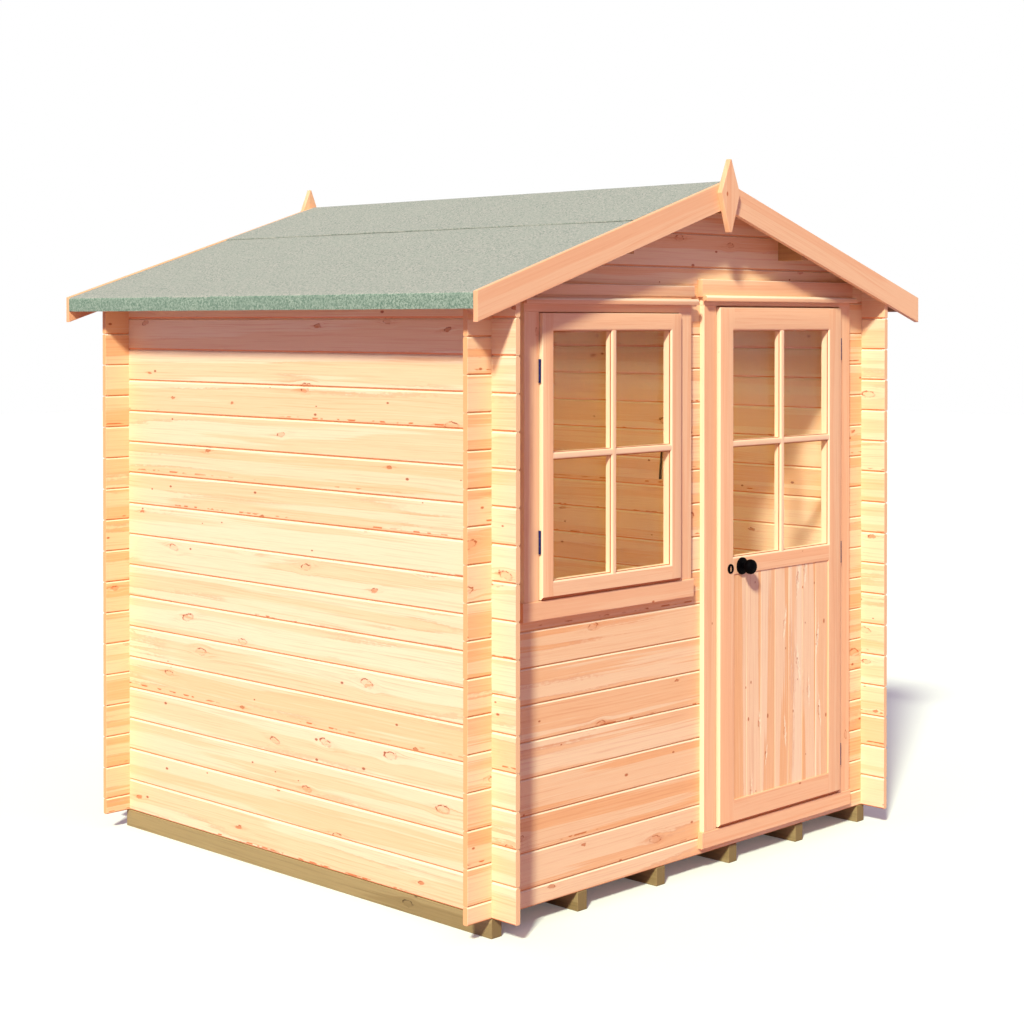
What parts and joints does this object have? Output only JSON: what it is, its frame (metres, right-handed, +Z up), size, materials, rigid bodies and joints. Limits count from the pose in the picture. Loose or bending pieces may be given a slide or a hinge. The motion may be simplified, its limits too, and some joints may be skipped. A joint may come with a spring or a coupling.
{
  "type": "log cabin",
  "caption": "Small garden log cabin with crossed log corners, felted ridge roof with finials, casement window and half-glazed door that opens outwards.",
  "frame": {"origin": "on the ground under the middle of the roof", "axes": "+Z up, the front with the door and window faces -Y, +X to the right as seen from the front"},
  "size_m": [2.352, 2.214, 2.4318],
  "materials": {
    "log_wood": "planed softwood with knots, untreated",
    "joinery_wood": "planed softwood with knots, untreated",
    "trim_wood": "planed softwood with knots, untreated",
    "roof_wood": "planed softwood, untreated",
    "floor_wood": "planed softwood, untreated",
    "bearer_wood": "sawn softwood, pressure treated",
    "roof_felt": "green mineral granules on bitumen felt",
    "glass": "clear glazing",
    "hinge_metal": "dark plated steel",
    "black_metal": "satin black"
  },
  "bodies": {
    "root": {"bearer_1": "bearer_wood", "bearer_2": "bearer_wood", "bearer_3": "bearer_wood", "bearer_4": "bearer_wood", "bearer_5": "bearer_wood", "bearer_6": "bearer_wood", "floor": "floor_wood", "left_wall": "log_wood", "right_wall": "log_wood", "rear_wall": "log_wood", "front_sill_log": "log_wood", "front_wall_under_window": "log_wood", "front_wall_left_of_window": "log_wood", "front_wall_between": "log_wood", "front_wall_right_of_door": "log_wood", "front_gable": "log_wood", "ridge_purlin": "roof_wood", "left_purlin": "roof_wood", "right_purlin": "roof_wood", "left_roof_boards": "roof_wood", "right_roof_boards": "roof_wood", "left_eaves_board": "roof_wood", "right_eaves_board": "roof_wood", "left_felt": "roof_felt", "right_felt": "roof_felt", "ridge_felt": "roof_felt", "left_front_bargeboard": "trim_wood", "right_front_bargeboard": "trim_wood", "left_rear_bargeboard": "trim_wood", "right_rear_bargeboard": "trim_wood", "front_finial": "trim_wood", "rear_finial": "trim_wood", "window_frame": "joinery_wood", "window_sill": "joinery_wood", "window_header": "joinery_wood", "window_sash": "joinery_wood", "window_bars": "joinery_wood", "window_glass": "glass", "window_hinges": "hinge_metal", "window_stay": "black_metal", "door_frame": "joinery_wood", "threshold": "joinery_wood", "door_header": "joinery_wood", "frame_hinges": "hinge_metal"},
    "door": {"door_leaf": "joinery_wood", "door_bars": "joinery_wood", "door_glass": "glass", "door_panel": "joinery_wood", "leaf_hinges": "hinge_metal", "knob_roses": "black_metal", "keyhole_ring": "black_metal"},
    "knob": {"door_knob": "black_metal"}
  },
  "joints": [
    {"name": "door_hinge", "type": "hinge", "parent": "root", "child": "door", "pos_m": [0.803, -0.9915, 1.0415], "axis": [0, 0, 1], "range_deg": [0, 110]},
    {"name": "knob_turn", "type": "hinge", "parent": "door", "child": "knob", "pos_m": [0.201, -0.999, 1.038], "axis": [0, -1, 0], "range_deg": [-45, 45], "stiffness_Nm_per_rad": 0.3}
  ]
}
